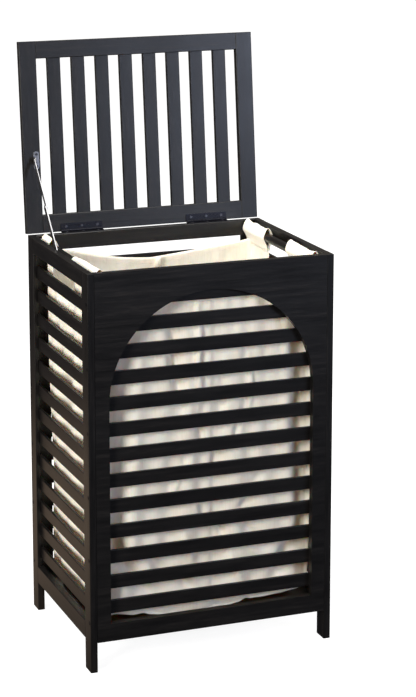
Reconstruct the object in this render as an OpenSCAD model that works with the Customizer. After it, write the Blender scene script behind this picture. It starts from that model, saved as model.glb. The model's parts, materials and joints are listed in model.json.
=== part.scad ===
// Slatted laundry hamper with a hinged lid, a hanging liner bag and a folding lid stay.
// The origin is on the floor, in the middle of the four legs. X runs to the right, Y to the
// back and Z up. The lid is drawn open, resting on its stay. All sizes are in millimetres.

/* [Body] */
// Width over the two side frames
body_w = 428; // [330:1:560]
// Depth from the front panel to the back panel
body_d = 330; // [270:1:430]
// Height from the floor to the top of the side frames
body_h = 670; // [520:1:820]
// Thickness of every frame board
board_t = 12; // [10:0.5:18]
// Depth of a leg, measured along the side
leg_d = 30; // [24:1:45]
// Clear height under the bottom rails
foot_h = 51; // [30:1:90]
// Height of the top rails
top_rail_h = 27; // [24:1:40]
// Height of the bottom rails
bottom_rail_h = 30; // [20:1:45]
// Chamfer along the edges of the boards
edge_c = 0.8; // [0.2:0.1:1.2]

/* [Front panel] */
// Width of the panel beside the opening
front_stile_w = 23.5; // [16:0.5:40]
// Height of the panel above the arch
front_top_h = 41.5; // [30:0.5:60]

/* [Slats] */
// Thickness of the body slats
slat_t = 5; // [3:0.5:7]
// Height of a side or back slat
side_slat_h = 21; // [14:0.5:28]
// Height of a front slat
front_slat_h = 23; // [14:0.5:28]
// Spacing of the side and back slats
side_pitch = 42; // [34:0.5:60]
// Spacing of the front slats
front_pitch = 43; // [34:0.5:60]
// Gap between a side frame's top rail and its first slat
side_first_gap = 23; // [10:0.5:35]
// Gap between the back top rail and its first slat
back_first_gap = 19; // [10:0.5:35]
// Distance from the top of the body to the first front slat
front_slat_drop = 37; // [30:0.5:45]
// Least gap under the lowest front slat
front_last_gap = 8; // [4:0.5:20]
// How far a slat's end is let into a leg or a stile
slat_seat = 10; // [6:0.5:14]

/* [Floor of the body] */
// Thickness of the bottom panel
floor_t = 5; // [3:0.5:9]
// Side of the square cleats under the bottom panel
cleat = 9; // [6:0.5:12]

/* [Rods and liner] */
// Diameter of the two rods that carry the liner
rod_dia = 15; // [10:0.5:18]
// Clear space between a rod and the side frame
rod_gap = 7.5; // [7.5:0.1:20]
// Distance from the top of the body down to a rod's centre line
rod_drop = 14; // [12:0.5:16]
// Depth of the blind sockets that hold the rods
rod_socket = 8; // [5:0.5:9]
// Thickness of the liner cloth with its hems
cloth_t = 1.2; // [0.8:0.1:2]
// Clear space between a rod and the sleeve around it
sleeve_gap = 0.5; // [0.4:0.1:1.5]
// Distance from the top of the body down to the liner's top edge
liner_drop = 30; // [26:1:60]
// Space between the liner and the bottom panel
liner_floor_gap = 12; // [5:1:40]
// Space between the liner and the front and back panels
liner_end_gap = 10; // [8:1:40]
// Corner radius of the liner
liner_r = 26; // [10:1:50]
// Length of the left front sleeve
sleeve_left_front = 131; // [60:1:135]
// Length of the left rear sleeve
sleeve_left_rear = 45; // [20:1:50]
// Length of the right front sleeve
sleeve_right_front = 105; // [60:1:135]
// Length of the right rear sleeve
sleeve_right_rear = 93; // [40:1:100]

/* [Lid] */
// How much wider the lid is than the body
lid_over_w = 0; // [-2:0.5:6]
// How much longer the lid is, front to back, than the body
lid_over_d = 0; // [-4:0.5:4]
// How far the lid's hinge edge reaches past the hinge axis
lid_rear_over = 1.5; // [0:0.1:1.5]
// Thickness of the lid's frame
lid_t = 12; // [10:0.5:18]
// How far the lid sits to the right of the body's centre line
lid_shift = 0; // [-2:0.5:2]
// Width of the lid's side stiles
lid_stile_w = 30; // [24:1:45]
// Width of the lid's front rail
lid_front_rail_w = 30; // [24:1:45]
// Width of the lid's hinge rail
lid_rear_rail_w = 31; // [26:1:45]
// Width of a lid slat
lid_slat_w = 23.6; // [16:0.2:30]
// Thickness of a lid slat
lid_slat_t = 8; // [5:0.5:9]
// Lean of the open lid past upright
lid_lean = 5.9; // [2:0.1:12]

/* [Hinges] */
// Length of a hinge
hinge_l = 76; // [50:1:90]
// Distance between the middles of the two hinges
hinge_span = 230.8; // [160:0.2:300]
// Radius of the hinge barrel
barrel_r = 2; // [1.8:0.1:2.6]
// Radius of the hinge pin
pin_r = 1; // [0.8:0.1:1.2]
// Thickness of a hinge leaf
leaf_t = 1; // [0.8:0.1:1.2]
// Width of a hinge leaf from the axis
leaf_w = 12.5; // [11:0.5:14]
// Distance between the outer screws of a hinge leaf
hinge_screw_span = 57; // [36:1:64]
// Clear space between the hinge barrel and the wood
hinge_gap = 0.3; // [0.3:0.1:1]

/* [Lid stay] */
// Width of the lower arm
lower_arm_w = 10; // [8:0.5:12]
// Thickness of the lower arm
lower_arm_t = 2; // [1.2:0.1:2]
// Width of the upper arm
upper_arm_w = 8; // [6:0.5:10]
// Thickness of the upper arm and of the brackets
stay_t = 1.2; // [0.8:0.1:1.3]
// Distance of the stay's lid pivot from the hinge axis
stay_reach = 124.5; // [90:0.5:160]
// Height of the stay's lid pivot below the lid's underside
stay_off = 8; // [6:0.5:9]
// Distance of the stay's body pivot behind the middle of the body
stay_y = 36; // [20:1:60]
// How much longer the lower arm is than the upper arm
stay_diff = 1.4; // [0:0.1:6]
// Radius of the stay's rivets
rivet_r = 1.6; // [1.2:0.1:2]

/* [Fasteners] */
// Radius of the small screws' shanks
screw_r = 1.2; // [1:0.1:1.4]
// Radius of the small screws' heads
screw_head_r = 2.3; // [2:0.1:2.6]
// Height of the small screws' heads
screw_head_h = 0.7; // [0.5:0.1:0.8]
// Length of the small screws in the wood
screw_l = 7; // [5:0.5:8]
// Radius of the frame screws' shanks
frame_screw_r = 1.8; // [1.4:0.1:2]
// Radius of the frame screws' heads
frame_head_r = 3.2; // [2.8:0.1:4]
// Height of the lowest frame screw above the floor
frame_screw_first = 85; // [70:1:110]
// Spacing of the frame screws
frame_screw_pitch = 107; // [80:1:160]

/* [Hidden] */
$fn = 48;

stain = "#1e1f24";
steel = "#b9bcc0";
dark_steel = "#3a3b40";
cotton = "#ece4d2";

// Clearances
fit = 0.1;
pin_fit = 0.05;
arm_gap = 0.3;
cut = 1;

// Places in the body
inner_x = body_w / 2 - board_t;
inner_y = body_d / 2 - board_t;
leg_y = body_d / 2 - leg_d;
rail_l = 2 * leg_y;
bottom_z = foot_h + bottom_rail_h;
top_z = body_h - top_rail_h;
tenon_l = 8;
tenon_t = board_t / 2;
tenon_step = 5;

// Slats
side_count = floor((top_z - side_first_gap - side_slat_h - bottom_z) / side_pitch) + 1;
back_count = floor((top_z - back_first_gap - side_slat_h - bottom_z) / side_pitch) + 1;
front_top_slat_z = body_h - front_slat_drop - front_slat_h;
front_count = floor((front_top_slat_z - bottom_z - front_last_gap) / front_pitch) + 1;
slat_c = 0.5;
front_slat_end = 6;

// Frame screws: their tips stop short of the ends of the back's slats
screw_clear = 1.5;
screw_top_gap = 20;
frame_screw_grip = front_stile_w - slat_seat - screw_clear;
frame_screw_heights = [for (z = [frame_screw_first : frame_screw_pitch : top_z - screw_top_gap]) z];
frame_head_h = 0.5;

// Arch
arch_r = inner_x - front_stile_w;
arch_z = body_h - front_top_h - arch_r;

// Rods and liner
rod_x = inner_x - rod_gap - rod_dia / 2;
rod_z = body_h - rod_drop;
floor_z = foot_h + cleat;
liner_z0 = floor_z + floor_t + liner_floor_gap;
liner_z1 = body_h - liner_drop;
liner_x = rod_x + cloth_t / 2;
liner_y = inner_y - liner_end_gap;
sleeve_r = rod_dia / 2 + sleeve_gap;
sleeve_end_gap = 4;

// Hinges
hinge_off = barrel_r + 0.2;
hinge_y = body_d / 2 + barrel_r + hinge_gap;
hinge_z = body_h + hinge_off;
hinge_screw_y = -7;
leaf_y = barrel_r + 0.4;
knuckles = 5;
knuckle_gap = 0.3;

// Lid, in a frame whose origin is on the hinge axis and which turns with the lid
lid_w = body_w + lid_over_w;
lid_l = body_d + lid_over_d;
lid_y0 = lid_rear_over - lid_l;
lid_rear_y0 = lid_rear_over - lid_rear_rail_w;
lid_inner = lid_w - 2 * lid_stile_w;
lid_slat_n = 8;
lid_gap = (lid_inner - lid_slat_n * lid_slat_w) / (lid_slat_n + 1);
lid_slat_l = lid_l - lid_front_rail_w - lid_rear_rail_w;
lid_tenon = 6;

// Stay: the pivots in the Y-Z plane, with the lid open
stay_z = body_h - 14;
lid_turn = -(90 + lid_lean);
function turned(y, z, a) = [hinge_y + y * cos(a) - z * sin(a), hinge_z + y * sin(a) + z * cos(a)];
stay_lid = turned(-stay_reach, hinge_off - stay_off, lid_turn);
stay_body = [stay_y, stay_z];
stay_span = norm(stay_lid - stay_body);
lower_arm_l = (stay_span + stay_diff) / 2;
upper_arm_l = (stay_span - stay_diff) / 2;
stay_angle = atan2(stay_lid[1] - stay_body[1], stay_lid[0] - stay_body[0]);
body_plate_x = -inner_x;
lower_arm_x = body_plate_x + stay_t + arm_gap;
upper_arm_x = lower_arm_x + lower_arm_t + arm_gap;
bracket_x = upper_arm_x + stay_t + arm_gap;
body_plate_l = 34;
body_plate_h = 11;
body_plate_screws = 24;
bracket_l = 31;
bracket_w = 10;
bracket_straight = bracket_l - bracket_w;
bracket_screws = 21;
bracket_ear = 12;
head_h = 0.8;
sunk_head_h = 0.5;
head_step = 1.2;

// ---------------------------------------------------------------- shapes

// A rectangle centred on the origin with cut corners
module cut_rect(w, h, c) {
    x = w / 2;
    y = h / 2;
    polygon([[-x + c, -y], [x - c, -y], [x, -y + c], [x, y - c],
             [x - c, y], [-x + c, y], [-x, y - c], [-x, -y + c]]);
}

// Boards with chamfered long edges, from a low corner
module board_x(p, s, c = edge_c)
    translate([p[0], p[1] + s[1] / 2, p[2] + s[2] / 2])
        rotate([90, 0, 90]) linear_extrude(s[0]) cut_rect(s[1], s[2], c);

module board_y(p, s, c = edge_c)
    translate([p[0] + s[0] / 2, p[1] + s[1], p[2] + s[2] / 2])
        rotate([90, 0, 0]) linear_extrude(s[1]) cut_rect(s[0], s[2], c);

module board_z(p, s, c = edge_c)
    translate([p[0] + s[0] / 2, p[1] + s[1] / 2, p[2]])
        linear_extrude(s[2]) cut_rect(s[0], s[1], c);

// A plain block from a low corner
module block(p, s) translate(p) cube(s);

// A cylinder along X, Y or Z, from a point
module rod_on_x(p, r, l) translate(p) rotate([0, 90, 0]) cylinder(r = r, h = l);
module rod_on_y(p, r, l) translate(p) rotate([-90, 0, 0]) cylinder(r = r, h = l);
module rod_on_z(p, r, l) translate(p) cylinder(r = r, h = l);

// A screw that points down -Z, with its head resting on the plane through the origin
module screw(r, l, head_r, head_h) {
    rod_on_z([0, 0, -l], r, l + head_h / 2);
    difference() {
        rod_on_z([0, 0, 0], head_r, head_h);
        for (a = [0, 90])
            rotate([0, 0, a]) block([-head_r * 0.6, -0.25, head_h * 0.5], [head_r * 1.2, 0.5, head_h]);
    }
}

// A rectangle with rounded corners, centred on the origin
module round_rect(w, d, r) {
    square([w - 2 * r, d], center = true);
    square([w, d - 2 * r], center = true);
    for (x = [-1, 1], y = [-1, 1]) translate([x * (w / 2 - r), y * (d / 2 - r)]) circle(r);
}

// Both sides of the body from one description of the left side
module on_side(side) mirror([side == "right" ? 1 : 0, 0, 0]) children();
module on_end(end) mirror([0, end == "rear" ? 1 : 0, 0]) children();

// ---------------------------------------------------------------- side frames

// The tenons on both ends of a side rail, wider by a clearance when they cut the sockets
module rail_tenons(z0, h, extra = 0)
    block([-inner_x - board_t / 2 - tenon_t / 2 - extra, -leg_y - tenon_l - extra,
           z0 + tenon_step - extra],
          [tenon_t + 2 * extra, rail_l + 2 * (tenon_l + extra), h - 2 * (tenon_step - extra)]);

// The legs are described at the left front, and mirrored to the other corners
module leg() {
    difference() {
        board_z([-body_w / 2, -body_d / 2, 0], [board_t, leg_d, body_h]);
        block([-inner_x - slat_t, -leg_y - slat_seat, bottom_z],
              [slat_t + cut, slat_seat + cut, top_z - bottom_z]);
        rail_tenons(foot_h, bottom_rail_h, fit);
        rail_tenons(top_z, top_rail_h, fit);
        for (z = frame_screw_heights)
            rod_on_x([-body_w / 2 - cut, -body_d / 2 + board_t / 2, z],
                     frame_screw_r + fit, board_t + 2 * cut);
    }
}

module left_front_leg() color(stain) leg();
module left_rear_leg() color(stain) on_end("rear") leg();
module right_front_leg() color(stain) on_side("right") leg();
module right_rear_leg() color(stain) on_side("right") on_end("rear") leg();

module side_rail(z0, h) {
    board_y([-body_w / 2, -leg_y, z0], [board_t, rail_l, h]);
    rail_tenons(z0, h);
}

// The left top rail also takes the two screws of the stay's plate
module left_top_rail() color(stain)
    difference() {
        side_rail(top_z, top_rail_h);
        for (s = [-1, 1])
            rod_on_x([-inner_x - screw_l - fit, stay_body[0] + s * body_plate_screws / 2, stay_body[1]],
                     screw_r + fit, screw_l + cut);
    }
module right_top_rail() color(stain) on_side("right") side_rail(top_z, top_rail_h);
module left_bottom_rail() color(stain) side_rail(foot_h, bottom_rail_h);
module right_bottom_rail() color(stain) on_side("right") side_rail(foot_h, bottom_rail_h);

module side_slats()
    for (i = [0 : side_count - 1])
        board_y([-inner_x - slat_t + fit, -leg_y - slat_seat + fit,
                 top_z - side_first_gap - side_slat_h - i * side_pitch],
                [slat_t - fit, rail_l + 2 * (slat_seat - fit), side_slat_h], slat_c);
module left_slats() color(stain) side_slats();
module right_slats() color(stain) on_side("right") side_slats();

// ---------------------------------------------------------------- front

module arch_outline() {
    translate([-arch_r, bottom_z]) square([2 * arch_r, arch_z - bottom_z]);
    translate([0, arch_z]) circle(arch_r, $fn = 160);
}

// Pilot holes and sockets that the front and back panels share, drawn at the front
module panel_holes() {
    for (s = [-1, 1], z = frame_screw_heights)
        rod_on_x([s > 0 ? inner_x - frame_screw_grip - fit : -inner_x - cut,
                  -body_d / 2 + board_t / 2, z],
                 frame_screw_r + fit, frame_screw_grip + cut + fit);
    for (s = [-1, 1])
        rod_on_y([s * rod_x, -inner_y - rod_socket, rod_z], rod_dia / 2 + fit, rod_socket + cut);
}

module front_arch_panel() color(stain)
    difference() {
        translate([0, -inner_y, 0]) rotate([90, 0, 0]) linear_extrude(board_t)
            difference() {
                translate([-inner_x, foot_h]) square([2 * inner_x, body_h - foot_h]);
                intersection() {
                    arch_outline();
                    translate([-arch_r, bottom_z]) square([2 * arch_r, body_h]);
                }
            }
        panel_holes();
    }

module front_slats() color(stain)
    for (i = [0 : front_count - 1])
        board_x([-inner_x + front_slat_end, -inner_y, front_top_slat_z - i * front_pitch],
                [2 * (inner_x - front_slat_end), slat_t, front_slat_h], slat_c);

// ---------------------------------------------------------------- back

module back_top_rail() color(stain)
    difference() {
        board_x([-inner_x, inner_y, top_z], [2 * inner_x, board_t, top_rail_h]);
        on_end("rear") panel_holes();
        for (side = [-1, 1], k = [-1, 0, 1])
            rod_on_z([side * hinge_span / 2 + k * hinge_screw_span / 2, hinge_y + hinge_screw_y,
                      body_h - screw_l - fit],
                     screw_r + fit, screw_l + cut);
    }

module back_bottom_rail() color(stain)
    difference() {
        board_x([-inner_x, inner_y, foot_h], [2 * inner_x, board_t, bottom_rail_h]);
        on_end("rear") panel_holes();
    }

module back_stile() {
    difference() {
        board_z([-inner_x, inner_y, bottom_z], [front_stile_w, board_t, top_z - bottom_z]);
        block([-inner_x + front_stile_w - slat_seat, inner_y - cut, bottom_z - cut],
              [slat_seat + cut, slat_t + cut, top_z - bottom_z + 2 * cut]);
        on_end("rear") panel_holes();
    }
}
module back_left_stile() color(stain) back_stile();
module back_right_stile() color(stain) on_side("right") back_stile();

module back_slats() color(stain)
    for (i = [0 : back_count - 1])
        board_x([-arch_r - slat_seat + fit, inner_y,
                 top_z - back_first_gap - side_slat_h - i * side_pitch],
                [2 * (arch_r + slat_seat - fit), slat_t - fit, side_slat_h], slat_c);

// ---------------------------------------------------------------- floor, rods and liner

module bottom_panel() color(stain)
    block([-inner_x + fit, -inner_y + fit, floor_z],
          [2 * (inner_x - fit), 2 * (inner_y - fit), floor_t]);

module floor_cleats() color(stain)
    for (side = ["left", "right"])
        on_side(side) block([-inner_x, -inner_y, foot_h], [cleat, 2 * inner_y, cleat]);

module carrying_rod(side)
    rod_on_y([side * rod_x, -inner_y - rod_socket + fit, rod_z], rod_dia / 2,
             2 * (inner_y + rod_socket - fit));
module left_rod() color(stain) carrying_rod(-1);
module right_rod() color(stain) carrying_rod(1);

module liner_bag() color(cotton)
    difference() {
        translate([0, 0, liner_z0]) linear_extrude(liner_z1 - liner_z0)
            round_rect(2 * liner_x, 2 * liner_y, liner_r);
        translate([0, 0, liner_z0 + cloth_t]) linear_extrude(liner_z1 - liner_z0)
            round_rect(2 * (liner_x - cloth_t), 2 * (liner_y - cloth_t), liner_r - cloth_t);
    }

// A sleeve around a rod, with the strip that hangs from it to the bag's top edge
module sleeve(side, y0, l)
    difference() {
        union() {
            rod_on_y([side * rod_x, y0, rod_z], sleeve_r + cloth_t, l);
            block([side > 0 ? liner_x - cloth_t : -liner_x, y0, liner_z1],
                  [cloth_t, l, rod_z - sleeve_r - liner_z1]);
        }
        rod_on_y([side * rod_x, y0 - cut, rod_z], sleeve_r, l + 2 * cut);
    }
module liner_sleeves() color(cotton) {
    sleeve(-1, -inner_y + sleeve_end_gap, sleeve_left_front);
    sleeve(-1, inner_y - sleeve_end_gap - sleeve_left_rear, sleeve_left_rear);
    sleeve(1, -inner_y + sleeve_end_gap, sleeve_right_front);
    sleeve(1, inner_y - sleeve_end_gap - sleeve_right_rear, sleeve_right_rear);
}

// ---------------------------------------------------------------- frame screws

module frame_screws() color(dark_steel)
    for (side = ["left", "right"], end = ["front", "rear"], z = frame_screw_heights)
        on_side(side) on_end(end)
            translate([-body_w / 2, -body_d / 2 + board_t / 2, z])
                rotate([0, -90, 0])
                    screw(frame_screw_r, board_t + frame_screw_grip, frame_head_r, frame_head_h);

// ---------------------------------------------------------------- hinges

// The hinge's own frame: X along the pin, the body's top at -hinge_off, the back edge at +Y
module at_hinge(side) translate([side * hinge_span / 2, hinge_y, hinge_z]) children();
module in_lid() translate([0, hinge_y, hinge_z]) rotate([lid_turn, 0, 0]) children();

// One leaf, lying under the lid, with the knuckles numbered in the list
module leaf(numbers) {
    k = hinge_l / knuckles;
    difference() {
        union() {
            block([-hinge_l / 2, -leaf_w, hinge_off - leaf_t], [hinge_l, leaf_w - leaf_y, leaf_t]);
            for (i = numbers) {
                x = -hinge_l / 2 + i * k + knuckle_gap / 2;
                rod_on_x([x, 0, 0], barrel_r, k - knuckle_gap);
                block([x, -leaf_y - fit, hinge_off - leaf_t], [k - knuckle_gap, leaf_y + fit, leaf_t]);
            }
        }
        rod_on_x([-hinge_l / 2 - cut, 0, 0], pin_r + pin_fit, hinge_l + 2 * cut);
        for (i = [-1, 0, 1])
            rod_on_z([i * hinge_screw_span / 2, hinge_screw_y, 0], screw_r + fit, 2 * hinge_off);
    }
}

module body_leaf(side) at_hinge(side) mirror([0, 0, 1]) leaf([0, 2, 4]);
module lid_leaf(side) in_lid() translate([side * hinge_span / 2, 0, 0]) leaf([1, 3]);
module left_hinge_body_leaf() color(dark_steel) body_leaf(-1);
module right_hinge_body_leaf() color(dark_steel) body_leaf(1);
module left_hinge_lid_leaf() color(dark_steel) lid_leaf(-1);
module right_hinge_lid_leaf() color(dark_steel) lid_leaf(1);

module hinge_pin(side) at_hinge(side) rod_on_x([-hinge_l / 2, 0, 0], pin_r, hinge_l);
module left_hinge_pin() color(dark_steel) hinge_pin(-1);
module right_hinge_pin() color(dark_steel) hinge_pin(1);

module small_screw() screw(screw_r, screw_l + leaf_t, screw_head_r, screw_head_h);
module hinge_body_screws() color(steel)
    for (side = [-1, 1], i = [-1, 0, 1])
        at_hinge(side)
            translate([i * hinge_screw_span / 2, hinge_screw_y, leaf_t - hinge_off]) small_screw();
module hinge_lid_screws() color(steel)
    in_lid() for (side = [-1, 1], i = [-1, 0, 1])
        translate([side * hinge_span / 2 + i * hinge_screw_span / 2, hinge_screw_y, hinge_off - leaf_t])
            mirror([0, 0, 1]) small_screw();

// ---------------------------------------------------------------- lid

lid_x0 = lid_shift - lid_w / 2;

module lid_rail_tenons(y0, w, extra = 0)
    block([lid_shift - lid_inner / 2 - tenon_l - extra, y0 + tenon_step - extra,
           hinge_off + lid_t / 4 - extra],
          [lid_inner + 2 * (tenon_l + extra), w - 2 * (tenon_step - extra), lid_t / 2 + 2 * extra]);

module lid_stile() {
    difference() {
        board_y([lid_x0, lid_y0, hinge_off], [lid_stile_w, lid_l, lid_t]);
        lid_rail_tenons(lid_y0, lid_front_rail_w, fit);
        lid_rail_tenons(lid_rear_y0, lid_rear_rail_w, fit);
    }
}
module lid_left_stile() color(stain)
    in_lid() difference() {
        lid_stile();
        for (s = [-1, 1])
            rod_on_z([bracket_screw_x, -stay_reach + s * bracket_screws / 2, hinge_off - cut],
                     screw_r + fit, screw_l + cut + fit);
    }
module lid_right_stile() color(stain)
    in_lid() translate([2 * lid_shift, 0, 0]) mirror([1, 0, 0]) lid_stile();

// Sockets for the ends of the lid's slats
module lid_slat(i, extra = 0)
    board_y([lid_shift - lid_inner / 2 + lid_gap + i * (lid_slat_w + lid_gap) - extra,
             lid_y0 + lid_front_rail_w - lid_tenon - extra,
             hinge_off + (lid_t - lid_slat_t) / 2 - extra],
            [lid_slat_w + 2 * extra, lid_slat_l + 2 * (lid_tenon + extra), lid_slat_t + 2 * extra],
            slat_c);

module lid_rail(y0, w)
    difference() {
        union() {
            board_x([lid_shift - lid_inner / 2, y0, hinge_off], [lid_inner, w, lid_t]);
            lid_rail_tenons(y0, w);
        }
        for (i = [0 : lid_slat_n - 1]) lid_slat(i, fit);
    }
module lid_front_rail() color(stain) in_lid() lid_rail(lid_y0, lid_front_rail_w);
module lid_rear_rail() color(stain)
    in_lid() difference() {
        lid_rail(lid_rear_y0, lid_rear_rail_w);
        for (side = [-1, 1], k = [-1, 0, 1])
            rod_on_z([side * hinge_span / 2 + k * hinge_screw_span / 2, hinge_screw_y, hinge_off - cut],
                     screw_r + fit, screw_l + cut + fit);
    }

// ---------------------------------------------------------------- lid stay

// A flat link with round ends, its first pivot at the origin, along +Y, its thickness along +X
module link(l, w, t, bores = [0, 1])
    difference() {
        union() {
            block([0, 0, -w / 2], [t, l, w]);
            for (y = [0, l]) rod_on_x([0, y, 0], w / 2, t);
        }
        for (i = bores) rod_on_x([-cut, i * l, 0], rivet_r + pin_fit, t + 2 * cut);
    }

module stay_lower_arm() color(steel)
    translate([lower_arm_x, stay_body[0], stay_body[1]]) rotate([stay_angle, 0, 0])
        link(lower_arm_l, lower_arm_w, lower_arm_t);

// The upper arm's lower end has no bore, because the knee is left open there
module stay_upper_arm() color(steel)
    translate([upper_arm_x, stay_lid[0], stay_lid[1]]) rotate([stay_angle + 180, 0, 0])
        link(upper_arm_l, upper_arm_w, stay_t, [0]);

module stay_knee_rivet() color(steel) {
    knee = stay_body + lower_arm_l * [cos(stay_angle), sin(stay_angle)];
    rod_on_x([lower_arm_x, knee[0], knee[1]], rivet_r, lower_arm_t);
    rod_on_x([lower_arm_x - head_h, knee[0], knee[1]], rivet_r + head_step, head_h);
}

module stay_body_plate() color(steel)
    translate([body_plate_x, stay_body[0], stay_body[1]])
        difference() {
            block([0, -body_plate_l / 2, -body_plate_h / 2], [stay_t, body_plate_l, body_plate_h]);
            for (s = [-1, 1]) {
                rod_on_x([-cut, s * body_plate_screws / 2, 0], screw_r + fit, stay_t + 2 * cut);
                rod_on_x([stay_t - sunk_head_h, s * body_plate_screws / 2, 0],
                         screw_head_r + fit, sunk_head_h + cut);
            }
            rod_on_x([-cut, 0, 0], rivet_r + fit, stay_t + 2 * cut);
        }

// The rivet that carries the lower arm ends flush with the arm
module stay_body_rivet() color(steel)
    rod_on_x([body_plate_x, stay_body[0], stay_body[1]], rivet_r, stay_t + arm_gap + lower_arm_t);

// The plate's screws have sunk heads, because the lower arm swings over them
module stay_body_screws() color(steel)
    for (s = [-1, 1])
        translate([body_plate_x + stay_t - sunk_head_h,
                   stay_body[0] + s * body_plate_screws / 2, stay_body[1]])
            rotate([0, 90, 0]) screw(screw_r, screw_l, screw_head_r, sunk_head_h);

// The bracket: a round-ended plate under the lid's stile and an ear that carries the upper arm
bracket_screw_x = bracket_x + bracket_w / 2 + stay_t / 2;
module stay_lid_bracket() color(steel)
    in_lid() difference() {
        union() {
            block([bracket_x, -stay_reach - bracket_straight / 2, hinge_off - stay_t],
                  [bracket_w, bracket_straight, stay_t]);
            for (s = [-1, 1])
                rod_on_z([bracket_x + bracket_w / 2, -stay_reach + s * bracket_straight / 2,
                          hinge_off - stay_t],
                         bracket_w / 2, stay_t);
            block([bracket_x, -stay_reach - bracket_ear / 2, hinge_off - stay_off],
                  [stay_t, bracket_ear, stay_off]);
            rod_on_x([bracket_x, -stay_reach, hinge_off - stay_off], bracket_ear / 2, stay_t);
        }
        for (s = [-1, 1])
            rod_on_z([bracket_screw_x, -stay_reach + s * bracket_screws / 2, 0],
                     screw_r + fit, 2 * hinge_off);
        rod_on_x([bracket_x - cut, -stay_reach, hinge_off - stay_off], rivet_r + fit, stay_t + 2 * cut);
    }

module stay_lid_screws() color(steel)
    in_lid() for (s = [-1, 1])
        translate([bracket_screw_x, -stay_reach + s * bracket_screws / 2, hinge_off - stay_t])
            mirror([0, 0, 1]) screw(screw_r, screw_l, screw_head_r, screw_head_h);

// The rivet's head is on the bracket's inner face
module stay_lid_rivet() color(steel)
    in_lid() {
        rod_on_x([upper_arm_x, -stay_reach, hinge_off - stay_off], rivet_r, 2 * stay_t + arm_gap);
        rod_on_x([bracket_x + stay_t, -stay_reach, hinge_off - stay_off],
                 rivet_r + head_step, head_h);
    }

// ---------------------------------------------------------------- nodes

left_front_leg();
left_rear_leg();
right_front_leg();
right_rear_leg();
left_top_rail();
left_bottom_rail();
right_top_rail();
right_bottom_rail();
front_arch_panel();
back_top_rail();
back_bottom_rail();
back_left_stile();
back_right_stile();
front_slats();
back_slats();
left_slats();
right_slats();
bottom_panel();
floor_cleats();
left_rod();
right_rod();
liner_bag();
liner_sleeves();
frame_screws();
left_hinge_body_leaf();
right_hinge_body_leaf();
left_hinge_pin();
right_hinge_pin();
hinge_body_screws();
stay_body_plate();
stay_body_screws();
stay_body_rivet();
stay_lower_arm();
stay_knee_rivet();
stay_upper_arm();
lid_left_stile();
lid_right_stile();
lid_front_rail();
lid_rear_rail();
color(stain) in_lid() lid_slat(0);  // lid_slat_1
color(stain) in_lid() lid_slat(1);  // lid_slat_2
color(stain) in_lid() lid_slat(2);  // lid_slat_3
color(stain) in_lid() lid_slat(3);  // lid_slat_4
color(stain) in_lid() lid_slat(4);  // lid_slat_5
color(stain) in_lid() lid_slat(5);  // lid_slat_6
color(stain) in_lid() lid_slat(6);  // lid_slat_7
color(stain) in_lid() lid_slat(7);  // lid_slat_8
left_hinge_lid_leaf();
right_hinge_lid_leaf();
hinge_lid_screws();
stay_lid_bracket();
stay_lid_screws();
stay_lid_rivet();
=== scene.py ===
"""Looks of the laundry hamper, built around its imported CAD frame.

Lengths are in metres, +Z is up and the front faces -Y. The wooden boards and the metal pieces are
the frame's own nodes with rounded edges and procedural materials. The liner is modelled here.
"""

import json
import math

import bpy
import numpy as np
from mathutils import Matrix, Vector, bvhtree, noise


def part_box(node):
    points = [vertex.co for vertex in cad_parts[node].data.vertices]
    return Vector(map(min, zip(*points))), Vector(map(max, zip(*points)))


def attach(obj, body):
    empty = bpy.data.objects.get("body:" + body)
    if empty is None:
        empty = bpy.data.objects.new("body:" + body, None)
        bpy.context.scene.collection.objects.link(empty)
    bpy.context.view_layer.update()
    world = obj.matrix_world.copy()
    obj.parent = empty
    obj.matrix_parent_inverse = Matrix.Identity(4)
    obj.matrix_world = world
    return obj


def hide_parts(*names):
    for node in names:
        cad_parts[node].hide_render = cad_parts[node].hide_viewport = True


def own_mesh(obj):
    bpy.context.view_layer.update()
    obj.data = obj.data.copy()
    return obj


MM = 0.001

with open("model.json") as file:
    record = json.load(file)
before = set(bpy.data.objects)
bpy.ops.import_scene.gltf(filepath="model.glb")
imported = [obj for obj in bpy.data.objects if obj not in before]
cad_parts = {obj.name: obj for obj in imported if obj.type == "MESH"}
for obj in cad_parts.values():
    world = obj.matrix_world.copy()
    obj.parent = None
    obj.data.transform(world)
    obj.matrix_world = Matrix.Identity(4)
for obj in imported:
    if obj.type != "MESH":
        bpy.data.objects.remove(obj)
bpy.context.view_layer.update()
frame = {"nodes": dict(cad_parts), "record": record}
scene = bpy.context.scene


# ---------------------------------------------------------------- camera

CAMERA_PLACE = (-1.2533, -3.4083, 1.4409)
CAMERA_PITCH = math.radians(90 - 11.07)
CAMERA_YAW = math.radians(-20.99)
CAMERA_LENS = 113.9
CAMERA_SHIFT = -0.2


def make_camera():
    data = bpy.data.cameras.new("camera")
    camera = bpy.data.objects.new("camera", data)
    scene.collection.objects.link(camera)
    camera.location = CAMERA_PLACE
    camera.rotation_euler = (CAMERA_PITCH, 0, CAMERA_YAW)
    data.lens = CAMERA_LENS
    data.shift_y = CAMERA_SHIFT
    data.clip_end = 50
    scene.camera = camera


# ---------------------------------------------------------------- node helpers


def new_material(name):
    material = bpy.data.materials.new(name)
    material.use_nodes = True
    tree = material.node_tree
    return material, tree, tree.nodes["Principled BSDF"]


def add(tree, kind, **values):
    """A node of that kind. A value sets a property or, by the socket's name, an input."""
    node = tree.nodes.new("ShaderNode" + kind)
    for key, value in values.items():
        if hasattr(node, key):
            setattr(node, key, value)
        else:
            node.inputs[key.replace("_", " ")].default_value = value
    return node


def link(tree, out, into):
    tree.links.new(out, into)


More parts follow.
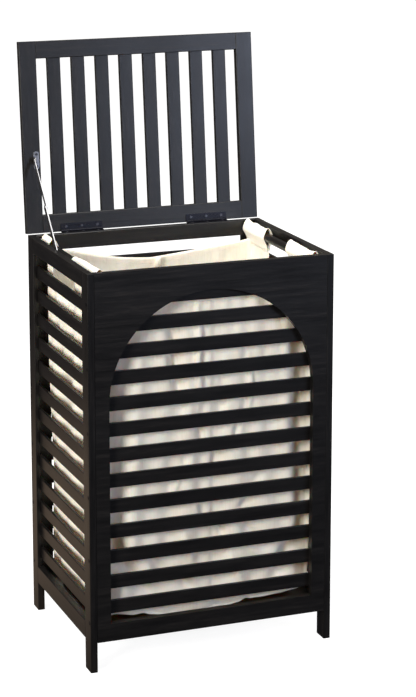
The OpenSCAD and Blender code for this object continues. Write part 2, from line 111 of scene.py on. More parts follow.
def ramp(tree, factor, stops):
    """A colour ramp over a factor, from (place, colour) stops."""
    node = add(tree, "ValToRGB")
    elements = node.color_ramp.elements
    while len(elements) < len(stops):
        elements.new(0.5)
    for element, (place, colour) in zip(elements, stops):
        element.position = place
        element.color = (*colour, 1)
    link(tree, factor, node.inputs["Fac"])
    return node.outputs["Color"]


def spread_to(tree, value, low, high):
    """A 0 to 1 value spread over another range."""
    node = add(tree, "MapRange")
    node.inputs["To Min"].default_value = low
    node.inputs["To Max"].default_value = high
    link(tree, value, node.inputs["Value"])
    return node.outputs["Result"]


def noise_of(tree, vector, scale, detail=3.0, rough=0.5):
    node = add(tree, "TexNoise", Scale=scale, Detail=detail, Roughness=rough)
    link(tree, vector, node.inputs["Vector"])
    return node.outputs["Fac"]


def bump_into(tree, shader, heights):
    """Bumps of (height socket, distance in metres), one after the other, into the shader."""
    normal = None
    for height, distance in heights:
        node = add(tree, "Bump", Distance=distance, Strength=1.0)
        link(tree, height, node.inputs["Height"])
        if normal:
            link(tree, normal, node.inputs["Normal"])
        normal = node.outputs["Normal"]
    link(tree, normal, shader.inputs["Normal"])


# ---------------------------------------------------------------- materials

CREAM = (0.91, 0.86, 0.765)
CREAM_SHADE = (0.80, 0.73, 0.61)
# The noise is this much longer along the grain than across it
GRAIN_SCALE = {"x": (0.05, 1, 1), "y": (1, 0.05, 1), "z": (1, 1, 0.05)}
WOOD_COLOURS = (
    (0.12, (0.0022, 0.0020, 0.0020)),
    (0.30, (0.0065, 0.0058, 0.0056)),
    (0.50, (0.017, 0.0145, 0.013)),
)
WOOD_ROUGH = (0.31, 0.42)
WOOD_ROUGH_CLOUD = 0.06
WOOD_BUMP = 0.0001
METAL_BUMP = 0.00002
THREAD_SCALE = 420
CREASE_BUMP, SLUB_BUMP, WEAVE_BUMP = 0.006, 0.0003, 0.0002


def mix(one, two, share):
    """The colour that lies that share of the way from one to two."""
    return tuple(a + (b - a) * share for a, b in zip(one, two))


def stained_wood(axis):
    """Black-stained wood whose grain runs along one axis of the frame."""
    material, tree, shader = new_material("black_wood_" + axis)
    place = add(tree, "TexCoord").outputs["Object"]
    stretch = add(tree, "Mapping", Scale=GRAIN_SCALE[axis])
    link(tree, place, stretch.inputs["Vector"])
    along = stretch.outputs["Vector"]
    fibre = noise_of(tree, along, 900, 4, 0.6)
    streak = noise_of(tree, along, 160, 3, 0.55)
    cloud = noise_of(tree, place, 9, 2)
    both = add(tree, "Math", operation="MULTIPLY")
    link(tree, fibre, both.inputs[0])
    link(tree, streak, both.inputs[1])
    link(tree, ramp(tree, both.outputs[0], WOOD_COLOURS), shader.inputs["Base Color"])
    uneven = add(tree, "Math", operation="ADD")
    link(tree, spread_to(tree, streak, *WOOD_ROUGH), uneven.inputs[0])
    link(tree, spread_to(tree, cloud, -WOOD_ROUGH_CLOUD, WOOD_ROUGH_CLOUD), uneven.inputs[1])
    link(tree, uneven.outputs[0], shader.inputs["Roughness"])
    shader.inputs["Specular IOR Level"].default_value = 0.42
    bump_into(tree, shader, [(streak, WOOD_BUMP), (fibre, WOOD_BUMP)])
    return material


def metal(name, colour, rough, scratch=0.08):
    """Plated or painted metal with faint rolling marks and uneven gloss."""
    material, tree, shader = new_material(name)
    place = add(tree, "TexCoord").outputs["Object"]
    stretch = add(tree, "Mapping", Scale=(0.2, 1, 1))
    link(tree, place, stretch.inputs["Vector"])
    marks = noise_of(tree, stretch.outputs["Vector"], 2500, 3)
    patches = noise_of(tree, place, 120, 3)
    shade = [tuple(c * k for c in colour) for k in (0.8, 1.0)]
    link(tree, ramp(tree, patches, [(0.3, shade[0]), (0.7, shade[1])]), shader.inputs["Base Color"])
    link(tree, spread_to(tree, marks, rough - scratch, rough + scratch), shader.inputs["Roughness"])
    shader.inputs["Metallic"].default_value = 1.0
    bump_into(tree, shader, [(marks, METAL_BUMP)])
    return material


def cotton(name, dark):
    """Undyed plain-weave cotton: threads, slubs, small creases and a slightly uneven colour."""
    material, tree, shader = new_material(name)
    place = add(tree, "TexCoord").outputs["Object"]
    threads = []
    for direction in "XYZ":
        wave = add(tree, "TexWave", bands_direction=direction)
        wave.inputs["Scale"].default_value = THREAD_SCALE
        wave.inputs["Distortion"].default_value = 1.2
        wave.inputs["Detail"].default_value = 1.0
        wave.inputs["Detail Scale"].default_value = 0.6
        link(tree, place, wave.inputs["Vector"])
        threads.append(wave.outputs["Fac"])
    weave = threads[0]
    for thread in threads[1:]:
        total = add(tree, "Math", operation="ADD")
        link(tree, weave, total.inputs[0])
        link(tree, thread, total.inputs[1])
        weave = total.outputs[0]
    weave = spread_to(tree, weave, 0, 0.34)
    cloud = noise_of(tree, place, 14, 4)
    slub = add(tree, "Mapping", Scale=(1, 1, 0.08))
    link(tree, place, slub.inputs["Vector"])
    slubs = noise_of(tree, slub.outputs["Vector"], THREAD_SCALE, 3)
    mixed = add(tree, "Math", operation="ADD")
    link(tree, spread_to(tree, cloud, 0, 0.6), mixed.inputs[0])
    link(tree, spread_to(tree, slubs, 0, 0.4), mixed.inputs[1])
    stops = [(0.3, dark), (0.5, mix(dark, CREAM, 0.6)), (0.75, CREAM)]
    link(tree, ramp(tree, mixed.outputs[0], stops), shader.inputs["Base Color"])
    shader.inputs["Roughness"].default_value = 0.92
    shader.inputs["Specular IOR Level"].default_value = 0.2
    shader.inputs["Sheen Weight"].default_value = 0.15
    shader.inputs["Subsurface Weight"].default_value = 0.3
    shader.inputs["Subsurface Radius"].default_value = (1.0, 0.55, 0.30)
    shader.inputs["Subsurface Scale"].default_value = 0.003
    long = add(tree, "Mapping", Scale=(1, 1, 0.45))
    link(tree, place, long.inputs["Vector"])
    creases = add(tree, "TexNoise", noise_type="RIDGED_MULTIFRACTAL")
    creases.inputs["Scale"].default_value = 20
    creases.inputs["Detail"].default_value = 2.5
    creases.inputs["Roughness"].default_value = 0.45
    link(tree, long.outputs["Vector"], creases.inputs["Vector"])
    heights = [(creases.outputs["Fac"], CREASE_BUMP), (slubs, SLUB_BUMP), (weave, WEAVE_BUMP)]
    bump_into(tree, shader, heights)
    return material


WOOD = {axis: stained_wood(axis) for axis in "xyz"}
STAY_STEEL = metal("stay_steel", (0.30, 0.30, 0.31), 0.36)
SCREW_STEEL = metal("screw_steel", (0.085, 0.085, 0.095), 0.38)
DARK_STEEL = metal("dark_steel", (0.028, 0.028, 0.034), 0.44, 0.06)
COTTON = cotton("cotton", CREAM_SHADE)
# The thread is a darker beige than the cloth. That is partly its own colour and partly a painted
# shadow, standing in for the shade line along the hems' folded edges.
THREAD_WITH_PAINTED_SHADE = cotton("thread", (0.70, 0.62, 0.48))


# ---------------------------------------------------------------- boards and metal pieces

# The nodes whose grain runs along X or Y. All the others' runs along Z.
GRAIN = {
    "x": ("front_slats", "back_slats", "back_top_rail", "back_bottom_rail", "front_arch_panel",
          "lid_front_rail", "lid_rear_rail", "bottom_panel"),
    "y": ("left_slats", "right_slats", "left_top_rail", "left_bottom_rail", "right_top_rail",
          "right_bottom_rail", "floor_cleats", "left_rod", "right_rod"),
}
SLOT_MATERIAL = {
    "stay_steel": STAY_STEEL,
    "screw_steel": SCREW_STEEL,
    "dark_steel": DARK_STEEL,
}
WOOD_ROUNDING = 0.5 * MM
METAL_ROUNDING = 0.15 * MM


def paint(node, material):
    if not node.material_slots:
        node.data.materials.append(None)
    for slot in node.material_slots:
        slot.link = "OBJECT"
        slot.material = material


def round_edges(node, width):
    """Joins the node's split corners and rounds its sharp edges, by modifiers only."""
    weld = node.modifiers.new("join", "WELD")
    weld.merge_threshold = 1e-5
    bevel = node.modifiers.new("round", "BEVEL")
    bevel.width = width
    bevel.segments = 2
    bevel.limit_method = "ANGLE"
    bevel.angle_limit = math.radians(35)
    bevel.use_clamp_overlap = True
    normals = node.modifiers.new("normals", "WEIGHTED_NORMAL")
    normals.keep_sharp = False


def dress_frame():
    """Gives every node of the frame its material, and rounds the boards and the metal pieces."""
    slots = {row["node"]: row["material_slot"] for row in frame["record"]["subparts"]}
    for name, node in frame["nodes"].items():
        slot = slots[name]
        if slot == "black_wood":
            axis = next((a for a, names in GRAIN.items() if name in names), "z")
            paint(node, WOOD[axis])
            round_edges(node, WOOD_ROUNDING)
        elif slot in SLOT_MATERIAL:
            paint(node, SLOT_MATERIAL[slot])
            round_edges(node, METAL_ROUNDING)
        else:
            paint(node, COTTON)


# ---------------------------------------------------------------- liner

# The bag hangs from the rods by four sleeves, from y to y. Between the two sleeves of a rod the
# side wall is cut out down to CUT_Z, and the sleeves are sewn on at SEAM_Z.
SLEEVES = {
    "right": ((-0.149, -0.045), (0.054, 0.149)),
    "left": ((-0.149, -0.018), (0.104, 0.149)),
}
SEAM_Z = 0.640
CUT_Z = 0.612
# Height of the front and back walls' hem at places along x
HEM = (
    (-0.188, 0.650),
    (-0.153, 0.645),
    (-0.094, 0.630),
    (-0.045, 0.6225),
    (0.000, 0.619),
    (0.036, 0.622),
    (0.103, 0.629),
    (0.170, 0.636),
    (0.188, 0.640),
)
HEM_DEEP = 0.010
BAG_HALF_X = 0.188
BAG_HALF_Y = 0.140
BAG_BOTTOM = 0.072
# Height of the front wall's lowest edge at places along x
FRONT_LOW = (
    (-0.188, 0.090),
    (-0.128, 0.083),
    (-0.087, 0.077),
    (0.000, 0.075),
    (0.079, 0.083),
    (0.188, 0.091),
)
# Radius of the upright corners at the hem and in the walls, and where one becomes the other
CORNER_R = {"top": 0.010, "wall": 0.018}
CORNER_TOP_Z, CORNER_FADE = 0.62, 0.10
# How far the bag turns in along x and y, and the height over which it does, above its bottom
TURN_X, TURN_Y, TURN_Z = 0.020, 0.016, 0.022
# Below TAPER_HIGH above its bottom the bag narrows, and its front right corner gets rounder
TAPER, TAPER_HIGH, CORNER_MORE = 0.004, 0.16, 0.014
FRONT_SEAM_X = 0.0126
SEAM_DEPTH, SEAM_HALF = 0.0022, 0.0035
# Cells of the bag's mesh along x, and along a side wall: first sleeve, gap, second sleeve
CELLS_X = 46
CELLS_SIDE = {"right": (12, 12, 11), "left": (16, 14, 5)}
ROWS_TURN = 7
ROWS_WALL = 62
CLOTH_THICK = 0.0009
STITCH_PITCH, STITCH_LONG, STITCH_R = 0.0036, 0.0026, 0.00032
LOOP_X = (0.006, 0.016)
# The loop's side view: how far inside the back wall, and how high
LOOP = (
    (0.0015, 0.600),
    (0.0035, 0.612),
    (0.0060, 0.620),
    (0.0095, 0.6205),
    (0.0115, 0.614),
    (0.0110, 0.606),
    (0.0070, 0.600),
    (0.0020, 0.597),
)
# Folds of the front wall: from (x, z) to (x, z), half-width and how far they push outwards
FRONT_FOLDS = (
    (0.173, 0.720, 0.173, 0.020, 0.018, -0.0160),
    (-0.172, 0.720, -0.168, 0.240, 0.012, -0.0100),
    (-0.066, 0.600, -0.040, 0.400, 0.010, -0.0136),
    (-0.016, 0.620, -0.012, 0.395, 0.005, 0.0085),
    (-0.016, 0.410, -0.002, 0.350, 0.0045, -0.0085),
    (0.066, 0.420, 0.048, 0.350, 0.005, -0.0068),
    (0.076, 0.520, 0.077, 0.395, 0.004, 0.0068),
    (0.030, 0.480, 0.024, 0.395, 0.008, -0.0068),
    (-0.032, 0.370, -0.042, 0.310, 0.007, -0.0068),
    (0.018, 0.360, 0.012, 0.300, 0.006, -0.0068),
    (-0.045, 0.325, -0.062, 0.270, 0.005, 0.0068),
    (0.110, 0.320, 0.080, 0.270, 0.009, -0.0068),
    (-0.030, 0.275, -0.010, 0.230, 0.005, 0.0068),
    (0.085, 0.265, 0.050, 0.235, 0.007, -0.0068),
    (0.010, 0.235, 0.032, 0.190, 0.0045, -0.0102),
    (0.040, 0.225, 0.120, 0.165, 0.006, -0.0085),
    (0.060, 0.190, 0.110, 0.140, 0.006, 0.0068),
    (-0.050, 0.215, -0.018, 0.155, 0.006, 0.0085),
    (-0.190, 0.240, -0.095, 0.095, 0.014, -0.0200),
    (-0.105, 0.185, -0.060, 0.115, 0.010, -0.0102),
    (-0.065, 0.150, -0.020, 0.100, 0.008, -0.0102),
    (0.035, 0.185, 0.060, 0.110, 0.006, 0.0068),
    (0.175, 0.200, 0.105, 0.085, 0.014, -0.0140),
)
# Smooth waves, each (height, size): all round the bag before it hangs, all over the front wall,
# the sideways drift of its folds, the small ones all over the cloth, and the lowest edge's
HANG_WAVE = (0.006, 0.040)
FRONT_WAVE = (0.0065, 0.045)
FOLD_DRIFT = (0.007, 0.06)
SMALL_WAVE = (0.0009, 0.018)
LOW_EDGE_WAVE = (0.0018, 0.022)
# A sleeve hangs this loosely around its rod's axis, and puffs up this much above it
SLEEVE_LOOSE, SLEEVE_PUFF = 0.0086, 0.0065
SLEEVE_STEPS = 16
# How far the cloth keeps from the side slats, the front slats, the bottom panel and the stay
CLEAR_SIDE, CLEAR_FRONT, CLEAR_FLOOR, CLEAR_STAY = 0.0025, 0.0015, 0.002, 0.0035


def hem_height(x):
    """Height of the hem of the front and back walls, lowest near the middle."""
    return float(np.interp(x, [p[0] for p in HEM], [p[1] for p in HEM]))


def low_edge(x, y):
    """Height of the bag's lowest ring, which is raised and uneven at the front."""
    front = float(np.interp(x, [p[0] for p in FRONT_LOW], [p[1] for p in FRONT_LOW]))
    back = min(1.0, (y + BAG_HALF_Y) / 0.12)
    wave = LOW_EDGE_WAVE[0] * wobble((x, y, 0), LOW_EDGE_WAVE[1], 9.1)
    return front + (BAG_BOTTOM - front) * back + wave


def side_stops(side):
    """Places of a side wall's columns, from the front to the back."""
    front, rear = SLEEVES[side]
    stops = (-BAG_HALF_Y, front[1], rear[0], BAG_HALF_Y)
    columns = [stops[0]]
    for start, end, cells in zip(stops, stops[1:], CELLS_SIDE[side]):
        columns += [start + (end - start) * (i + 1) / cells for i in range(cells)]
    return columns


def bag_columns():
    """(x, y, wall) of every column round the bag, anticlockwise from its front left corner."""
    across = [-BAG_HALF_X + 2 * BAG_HALF_X * i / CELLS_X for i in range(CELLS_X)]
    right, left = side_stops("right"), side_stops("left")
    columns = [(x, -BAG_HALF_Y, "front") for x in across]
    columns += [(BAG_HALF_X, y, "right") for y in right[:-1]]
    columns += [(-x, BAG_HALF_Y, "back") for x in across]
    columns += [(-BAG_HALF_X, y, "left") for y in left[:0:-1]]
    return columns


def rounded(x, y, half_x, half_y, radius):
    """A point of a rectangle's outline, moved onto the outline with rounded corners."""
    over_x, over_y = abs(x) - (half_x - radius), abs(y) - (half_y - radius)
    if over_x <= 0 or over_y <= 0:
        return x, y
    turn = math.pi / 4 * (1 + (over_y - over_x) / radius)
    x = (half_x - radius + radius * math.cos(turn)) * (1 if x > 0 else -1)
    y = (half_y - radius + radius * math.sin(turn)) * (1 if y > 0 else -1)
    return x, y


def bag_mesh():
    """The bag as cut and sewn, before it hangs: its points, its faces and its pinned points."""
    columns = bag_columns()
    count = len(columns)
    rows = ROWS_TURN + ROWS_WALL
    points, faces, pinned = [], [], []
    for row in range(rows + 1):
        turn = min(1.0, row / ROWS_TURN) * math.pi / 2
        half_x = BAG_HALF_X - TURN_X * (1 - math.sin(turn))
        half_y = BAG_HALF_Y - TURN_Y * (1 - math.sin(turn))
        lift = TURN_Z * (1 - math.cos(turn))
        share = max(0, row - ROWS_TURN) / ROWS_WALL
        for x, y, wall in columns:
            low = low_edge(x, y) + lift
            top = hem_height(x) if wall in ("front", "back") else SEAM_Z + 0.003
            z = low + (top - low) * share if row > ROWS_TURN else low
            down = max(0.0, 1 - (z - BAG_BOTTOM) / TAPER_HIGH)
            taper = TAPER * down
            px, py = x / BAG_HALF_X * (half_x - taper), y / BAG_HALF_Y * (half_y - taper)
            low_share = min(1.0, max(0.0, (CORNER_TOP_Z - z) / CORNER_FADE))
            radius = CORNER_R["top"] + (CORNER_R["wall"] - CORNER_R["top"]) * low_share
            if x > 0 and y < 0:
                radius += CORNER_MORE * down
            px, py = rounded(px, py, half_x - taper, half_y - taper, radius)
            points.append((px, py, z))
    for row in range(rows):
        for i in range(count):
            j = (i + 1) % count
            y = (columns[i][1] + columns[j][1]) / 2
            wall = columns[i][2]
            z = points[(row + 1) * count + i][2]
            if wall in ("left", "right"):
                front, rear = SLEEVES[wall]
                if front[1] < y < rear[0] and z > CUT_Z:
                    continue
            low, high = row * count, (row + 1) * count
            faces.append((low + i, low + j, high + j, high + i))
    for i, (x, y, wall) in enumerate(columns):
        front, rear = SLEEVES.get(wall, ((0, 9), (-9, 0)))
        if y <= front[1] + 1e-6 or y >= rear[0] - 1e-6:
            pinned += [row * count + i for row in (rows - 1, rows)]
    pinned += range(2 * count)
    ring = len(points)
    bottom_faces(points, faces, count)
    pinned += range(ring, len(points))
    return points, faces, pinned


def bottom_faces(points, faces, count):
    """The bottom: a net between the four sides of the lowest ring, added to points and faces."""
    side = sum(CELLS_SIDE["right"])
    ring = [np.array(p) for p in points[:count]]
    front = list(range(CELLS_X + 1))
    right = [CELLS_X + i for i in range(side + 1)]
    back = [2 * CELLS_X + side - i for i in range(CELLS_X + 1)]
    left = [(count - i) % count for i in range(side + 1)]
    net = {}
    for i in range(CELLS_X + 1):
        for j in range(side + 1):
            if j == 0:
                net[i, j] = front[i]
            elif j == side:
                net[i, j] = back[i]
            elif i == 0:
                net[i, j] = left[j]
            elif i == CELLS_X:
                net[i, j] = right[j]
            else:
                u, v = i / CELLS_X, j / side
                across = (1 - v) * ring[front[i]] + v * ring[back[i]]
                along = (1 - u) * ring[left[j]] + u * ring[right[j]]
                corner = (
                    (1 - u) * (1 - v) * ring[front[0]] + u * (1 - v) * ring[right[0]]
                    + (1 - u) * v * ring[back[0]] + u * v * ring[back[-1]]
                )
                net[i, j] = len(points)
                points.append(tuple(across + along - corner))
    for i in range(CELLS_X):
        for j in range(side):
            faces.append((net[i, j], net[i, j + 1], net[i + 1, j + 1], net[i + 1, j]))


def new_piece(name, points, faces, material=COTTON):
    mesh = bpy.data.meshes.new(name)
    mesh.from_pydata([tuple(p) for p in points], [], faces)
    mesh.validate()
    piece = bpy.data.objects.new(name, mesh)
    scene.collection.objects.link(piece)
    mesh.materials.append(material)
    for face in mesh.polygons:
        face.use_smooth = True
    return piece


def coords(mesh):
    found = np.empty(len(mesh.vertices) * 3)
    mesh.vertices.foreach_get("co", found)
    return found.reshape(-1, 3)


def set_coords(mesh, points):
    mesh.vertices.foreach_set("co", np.asarray(points).ravel())
    mesh.update()


def apply_modifiers(piece):
    """Replaces the piece's mesh by what its modifiers make of it."""
    graph = bpy.context.evaluated_depsgraph_get()
    made = bpy.data.meshes.new_from_object(piece.evaluated_get(graph))
    name = piece.data.name
    piece.modifiers.clear()
    piece.data = made
    made.name = name


def hang(piece, pinned, frames=40):
    """Lets the cloth hang from its pinned points, a little slack everywhere."""
    group = piece.vertex_groups.new(name="pinned")
    group.add(pinned, 1.0, "REPLACE")
    cloth = piece.modifiers.new("cloth", "CLOTH")
    cloth.point_cache.frame_end = frames
    made = cloth.settings
    made.quality = 7
    made.mass = 0.18
    made.air_damping = 3
    made.tension_stiffness = 30
    made.compression_stiffness = 10
    made.shear_stiffness = 5
    made.bending_stiffness = 0.25
    made.shrink_min = -0.03
    made.use_pressure = True
    made.uniform_pressure_force = 0.03
    made.vertex_group_mass = "pinned"
    cloth.collision_settings.use_collision = False
    for number in range(1, frames + 1):
        scene.frame_set(number)
    apply_modifiers(piece)
    scene.frame_set(1)


def wobble(point, size, seed=0.0):
    """Smooth noise from -1 to 1 that changes over that size."""
    return noise.noise(Vector(point) / size + Vector((seed, seed * 1.7, seed * 2.3)))


def keep_inside(points):
    """Keeps the cloth clear of the boards, the stay and the bottom panel."""
    slats_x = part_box("right_slats")[0].x - CLEAR_SIDE
    slats_y = -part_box("front_slats")[1].y - CLEAR_FRONT
    floor_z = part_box("bottom_panel")[1].z + CLEAR_FLOOR
    stay_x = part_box("stay_body_plate")[1].x + CLEAR_STAY
    points[:, 0] = np.clip(points[:, 0], stay_x, slats_x)
    points[:, 1] = np.clip(points[:, 1], -slats_y, slats_y)
    points[:, 2] = np.maximum(points[:, 2], floor_z)
    return points


def fold_push(x, z):
    """How far the front wall's folds push the cloth outwards at that place."""
    total = -FRONT_WAVE[0] * (0.5 + 0.5 * wobble((x, 0, z * 0.4), FRONT_WAVE[1], 6.4))
    x += FOLD_DRIFT[0] * wobble((0, 0, z), FOLD_DRIFT[1], 2.2)
    for x0, z0, x1, z1, width, depth in FRONT_FOLDS:
        along = Vector((x1 - x0, z1 - z0))
        t = Vector((x - x0, z - z0)).dot(along) / along.length_squared
        near = Vector((x0, z0)) + along * min(1.0, max(0.0, t))
        off = (Vector((x, z)) - near).length
        if off < 3 * width:
            fade = math.sin(math.pi * min(0.95, max(0.05, t)))
            total += depth * math.exp(-((off / width) ** 2)) * fade
    return total


def make_bag():
    """The bag's cloth: cut, hung, folded at the front, and doubled along its hems."""
    points, faces, pinned = bag_mesh()
    start = []
    for p in points:
        push = HANG_WAVE[0] * wobble((p[0], p[1], p[2] * 0.22), HANG_WAVE[1], 3.1)
        length = math.hypot(p[0], p[1]) or 1
        start.append((p[0] + p[0] / length * push, p[1] + p[1] / length * push, p[2]))
    for i in pinned:
        start[i] = points[i]
    bag = new_piece("liner_cloth", start, faces)
    hang(bag, pinned)
    set_coords(bag.data, keep_inside(coords(bag.data)))
    finer = bag.modifiers.new("finer", "SUBSURF")
    finer.levels = finer.render_levels = 1
    apply_modifiers(bag)
    points = coords(bag.data)
    normals = np.array([tuple(v.normal) for v in bag.data.vertices])
    for i, (p, n) in enumerate(zip(points, normals)):
        small = SMALL_WAVE[0] * wobble((p[0], p[1], p[2] * 0.5), SMALL_WAVE[1], 7.7)
        on_seam = p[1] < -0.09 and p[2] > 0.08
        seam = math.exp(-(((p[0] - FRONT_SEAM_X) / SEAM_HALF) ** 2)) if on_seam else 0
        front = min(1.0, max(0.0, (-n[1] - 0.2) / 0.6)) if p[1] < -0.10 else 0
        folds = front * fold_push(p[0], p[2]) if front else 0
        points[i] = p + n * (small - SEAM_DEPTH * seam) + np.array((0, -folds, 0))
    set_coords(bag.data, keep_inside(points))
    hem = bag.vertex_groups.new(name="hem")
    for vertex in bag.data.vertices:
        below = hem_height(vertex.co.x) - vertex.co.z
        doubled = abs(vertex.co.y) > BAG_HALF_Y - 0.02 and below < HEM_DEEP + 0.002
        hem.add([vertex.index], 1.0 if doubled else 0.45, "REPLACE")
    body = bag.modifiers.new("thickness", "SOLIDIFY")
    body.thickness = 2 * CLOTH_THICK
    body.offset = 0
    body.vertex_group = "hem"
    apply_modifiers(bag)
    bag.vertex_groups.clear()
    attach(bag, "body")
    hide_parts("liner_bag")
    return bag


def sleeve_outline(side, y, share, seed):
    """Points of a sleeve's cross-section, from its inner flap, over the rod, to its outer flap."""
    sign = 1 if side == "right" else -1
    low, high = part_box(side + "_rod")
    rod_x, rod_z = abs(low.x + high.x) / 2, (low.z + high.z) / 2
    loose = SLEEVE_LOOSE + 0.0014 * wobble((y, 0, 0), 0.022, seed)
    puff = SLEEVE_PUFF + 0.0022 * wobble((y, 0, 0), 0.025, seed + 5)
    if side == "left" and y < 0:
        puff *= min(1.0, max(0.15, (-0.022 - y) / 0.022))
    puff += 0.0015 * (math.exp(-share / 0.06) + math.exp(-(1 - share) / 0.06))
    outline = [(BAG_HALF_X - 0.0016, SEAM_Z - 0.008), (BAG_HALF_X - 0.0022, SEAM_Z + 0.002)]
    for step in range(SLEEVE_STEPS + 1):
        turn = math.radians(200 - step * 230 / SLEEVE_STEPS)
        up = max(0.0, math.sin(turn)) ** 1.5
        around = (y, math.cos(turn) * 0.02, math.sin(turn) * 0.02)
        radius = loose + puff * up + 0.0010 * wobble(around, 0.012, seed)
        outline.append((rod_x + loose * 1.04 * math.cos(turn), rod_z + radius * math.sin(turn)))
    outline += [(BAG_HALF_X + 0.0026, SEAM_Z + 0.003), (BAG_HALF_X + 0.0018, SEAM_Z - 0.007)]
    return [(sign * x, y, z) for x, z in outline]


def make_sleeve(side, number, y0, y1):
    """One sleeve around a rod, from y0 to y1."""
    cells = max(6, round((y1 - y0) / 0.0045))
    seed = {"right": 1.3, "left": 4.9}[side] + number
    points, faces = [], []
    for i in range(cells + 1):
        share = i / cells
        ring = sleeve_outline(side, y0 + (y1 - y0) * share, share, seed)
        points += ring
    size = len(ring)
    for i in range(cells):
        for j in range(size - 1):
            a = i * size + j
            faces.append((a, a + 1, a + size + 1, a + size))
    sleeve = new_piece(f"liner_sleeve_{side}_{number}", points, faces)
    finer = sleeve.modifiers.new("finer", "SUBSURF")
    finer.levels = finer.render_levels = 1
    body = sleeve.modifiers.new("thickness", "SOLIDIFY")
    body.thickness = CLOTH_THICK
    body.offset = 0
    apply_modifiers(sleeve)
    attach(sleeve, "body")
    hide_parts("liner_sleeves")
    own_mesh(sleeve)
    return sleeve


def capsule(a, b, radius, points, faces):
    """Adds a thread of that radius from a to b, with rounded ends."""
    along = (b - a).normalized()
    side = along.orthogonal().normalized()
    up = along.cross(side)
    first = len(points)
    for share, wide in ((0.0, 0.45), (0.2, 1.0), (0.8, 1.0), (1.0, 0.45)):
        middle = a.lerp(b, share)
        for step in range(6):
            turn = step * math.pi / 3
            points.append(middle + radius * wide * (math.cos(turn) * side + math.sin(turn) * up))
    for ring in range(3):
        for step in range(6):
            one, two = first + ring * 6 + step, first + ring * 6 + (step + 1) % 6
            faces.append((one, two, two + 6, one + 6))
    faces.append(tuple(first + step for step in range(5, -1, -1)))
    faces.append(tuple(first + 18 + step for step in range(6)))


def stitch_row(starts, look, tree, points, faces):
    """Stitches where rays from those starts, all in one direction, meet the cloth."""
    for one, two in zip(starts, starts[1:]):
        a, b = (tree.ray_cast(Vector(start), look, 0.3)[0] for start in (one, two))
        if a and b and (b - a).length < 1.6 * STITCH_PITCH:
            gap = (b - a) * (1 - STITCH_LONG / STITCH_PITCH) / 2
            capsule(a + gap, b - gap, STITCH_R, points, faces)


def ray_tree(mesh):
    """A tree that rays can be cast at, of the mesh's faces."""
    corners = [v.co for v in mesh.vertices]
    return bvhtree.BVHTree.FromPolygons(corners, [tuple(f.vertices) for f in mesh.polygons])


def make_stitches(bag, sleeves):
    """Rows of stitches along the hems, inside and outside, and where the sleeves are sewn on."""
    points, faces = [], []
    tree = ray_tree(bag.data)
    count = int(2 * (BAG_HALF_X - 0.010) / STITCH_PITCH)
    across = [-BAG_HALF_X + 0.010 + i * STITCH_PITCH for i in range(count)]
    for wall, sign in (("front", -1), ("back", 1)):
        for start_y, look in ((0.09 * sign, sign), (0.19 * sign, -sign)):
            starts = [(x, start_y, hem_height(x) - HEM_DEEP) for x in across]
            stitch_row(starts, Vector((0, look, 0)), tree, points, faces)
    for sleeve in sleeves:
        mesh = sleeve.data
        tree = ray_tree(mesh)
        ys = [v.co.y for v in mesh.vertices]
        sign = 1 if mesh.vertices[0].co.x > 0 else -1
        count = int((max(ys) - min(ys) - 0.004) / STITCH_PITCH)
        first = min(ys) + 0.002
        starts = [(0.12 * sign, first + i * STITCH_PITCH, SEAM_Z - 0.003) for i in range(count)]
        stitch_row(starts, Vector((sign, 0, 0)), tree, points, faces)
    # The thread is darker than the cloth, so these rows also paint the shade line along the folded
    # hem edges.
    stitches = new_piece("liner_stitches", points, faces, THREAD_WITH_PAINTED_SHADE)
    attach(stitches, "body")
    return stitches


def make_loop():
    """A small folded loop of the hem's own tape, sewn inside the back wall."""
    points, faces = [], []
    cells = 6
    for row, (inwards, z) in enumerate(LOOP):
        for i in range(cells + 1):
            share = i / cells
            x = LOOP_X[0] + (LOOP_X[1] - LOOP_X[0]) * share + 0.0012 * math.sin(row * 0.9)
            bend = 0.0014 * math.sin(math.pi * share)
            points.append((x, BAG_HALF_Y - inwards - bend, z + 0.002 * (share - 0.5)))
    size = cells + 1
    for row in range(len(LOOP) - 1):
        for i in range(cells):
            a = row * size + i
            faces.append((a, a + 1, a + size + 1, a + size))
    loop = new_piece("liner_loop", points, faces)
    finer = loop.modifiers.new("finer", "SUBSURF")
    finer.levels = finer.render_levels = 2
    body = loop.modifiers.new("thickness", "SOLIDIFY")
    body.thickness = 1.4 * CLOTH_THICK
    body.offset = 0
    apply_modifiers(loop)
    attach(loop, "body")
    return loop


def make_liner():
    """The whole liner: the bag, sewn as a strip round it with the bottom on one side, its sleeves,
    stitches and loop.
    """
    bag = make_bag()
    sleeves = [
        make_sleeve(side, number, *span)
        for side, spans in SLEEVES.items()
        for number, span in enumerate(spans, 1)
    ]
    sleeves + [make_stitches(bag, sleeves), make_loop()]


# ---------------------------------------------------------------- floor and light

FLOOR_HALF = 12.0
# How bright the floor looks beside the hamper and from FLOOR_NEAR outwards
FLOOR_WHITE = {"near": 0.90, "far": 1.02}
FLOOR_NEAR = 1.6
# The floor's glow in reflections: its middle, how far it spreads and its colours
WARM_PLACE = (-0.65, 0.6, 0)
WARM_SPREAD = (1.0, 1.0, 1.0)
WARM_STOPS = ((0, (0.03, 0.03, 0.035)), (0.8, (0.52, 0.38, 0.27)))
WORLD_DIM = 0.16
WORLD_COLOUR = (1.0, 0.88, 0.76, 1)
MIDDLE = (0, 0, 0.45)
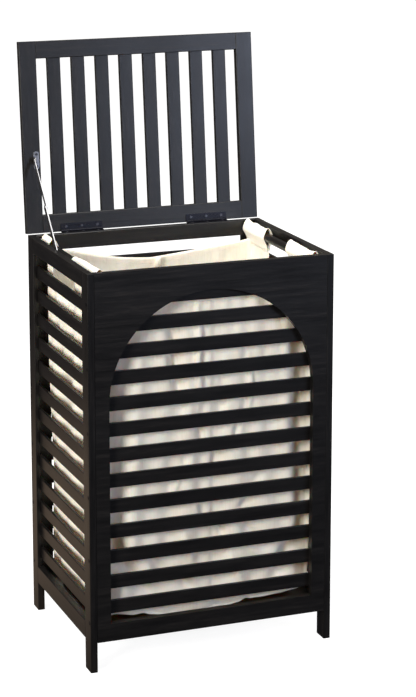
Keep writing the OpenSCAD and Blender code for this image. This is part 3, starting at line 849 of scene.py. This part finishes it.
# Each light's name, place, target, size, power in watts and colour
LIGHTS = (
    ("top", (-0.3, -0.3, 3.2), MIDDLE, (2.2, 2.2), 110, (1.0, 0.985, 0.96)),
    ("front_key", (-2.8, -2.2, 1.6), (0, 0, 0.4), (0.9, 1.2), 135, (1.0, 0.975, 0.935)),
    ("back", (3.0, 1.9, 1.5), MIDDLE, (1.4, 1.2), 50, (1.0, 0.98, 0.95)),
    ("left", (-3.2, 0.2, 1.6), MIDDLE, (2.0, 1.6), 36, (1.0, 0.93, 0.86)),
    ("front_right", (1.95, -3.0, 1.25), (0, 0, 1.0), (1.3, 0.7), 40, (0.68, 0.77, 1.0)),
)


def make_floor():
    """A floor that looks white, and that glows warm beside the hamper in its reflections only."""
    mesh = bpy.data.meshes.new("floor")
    corners = [(x * FLOOR_HALF, y * FLOOR_HALF, 0) for x, y in ((-1, -1), (1, -1), (1, 1), (-1, 1))]
    mesh.from_pydata(corners, [], [(0, 1, 2, 3)])
    floor = bpy.data.objects.new("floor", mesh)
    scene.collection.objects.link(floor)
    material, tree, shader = new_material("pale_floor")
    shader.inputs["Base Color"].default_value = (0.30, 0.30, 0.30, 1)
    shader.inputs["Roughness"].default_value = 1.0
    shader.inputs["Specular IOR Level"].default_value = 0.0
    shader.inputs["Emission Color"].default_value = (1, 1, 1, 1)
    place = add(tree, "TexCoord").outputs["Object"]
    around = add(tree, "Mapping", vector_type="TEXTURE", Scale=(FLOOR_NEAR, FLOOR_NEAR, 1))
    link(tree, place, around.inputs["Vector"])
    close = add(tree, "TexGradient", gradient_type="SPHERICAL")
    link(tree, around.outputs["Vector"], close.inputs["Vector"])
    white = spread_to(tree, close.outputs["Fac"], FLOOR_WHITE["far"], FLOOR_WHITE["near"])
    link(tree, white, shader.inputs["Emission Strength"])
    near = add(tree, "Mapping", vector_type="TEXTURE")
    near.inputs["Location"].default_value = WARM_PLACE
    near.inputs["Scale"].default_value = WARM_SPREAD
    link(tree, place, near.inputs["Vector"])
    fade = add(tree, "TexGradient", gradient_type="SPHERICAL")
    link(tree, near.outputs["Vector"], fade.inputs["Vector"])
    warm = add(tree, "Emission")
    link(tree, ramp(tree, fade.outputs["Fac"], WARM_STOPS), warm.inputs["Color"])
    seen = add(tree, "LightPath")
    pick = add(tree, "MixShader")
    link(tree, seen.outputs["Is Camera Ray"], pick.inputs["Fac"])
    link(tree, warm.outputs[0], pick.inputs[1])
    link(tree, shader.outputs[0], pick.inputs[2])
    link(tree, pick.outputs[0], tree.nodes["Material Output"].inputs["Surface"])
    mesh.materials.append(material)


def area_light(name, place, target, size, power, colour):
    data = bpy.data.lights.new(name, "AREA")
    data.shape = "RECTANGLE"
    data.size, data.size_y = size
    data.energy = power
    data.color = colour
    light = bpy.data.objects.new(name, data)
    scene.collection.objects.link(light)
    light.location = place
    light.rotation_euler = (Vector(target) - Vector(place)).to_track_quat("-Z", "Y").to_euler()


def make_light():
    """The lights, and a world that is pale to the camera and lights the hamper dim and warm."""
    world = bpy.data.worlds.new("studio")
    scene.world = world
    world.use_nodes = True
    tree = world.node_tree
    tree.nodes.clear()
    out = add(tree, "OutputWorld")
    pale = add(tree, "Background", Strength=1.0)
    dim = add(tree, "Background", Strength=WORLD_DIM)
    dim.inputs["Color"].default_value = WORLD_COLOUR
    seen = add(tree, "LightPath")
    pick = add(tree, "MixShader")
    link(tree, seen.outputs["Is Camera Ray"], pick.inputs["Fac"])
    link(tree, dim.outputs[0], pick.inputs[1])
    link(tree, pale.outputs[0], pick.inputs[2])
    link(tree, pick.outputs[0], out.inputs["Surface"])
    for row in LIGHTS:
        area_light(*row)


def set_picture():
    scene.view_settings.view_transform = "Standard"
    scene.view_settings.look = "None"


# ---------------------------------------------------------------- making

make_camera()
make_floor()
make_light()
set_picture()
dress_frame()
make_liner()
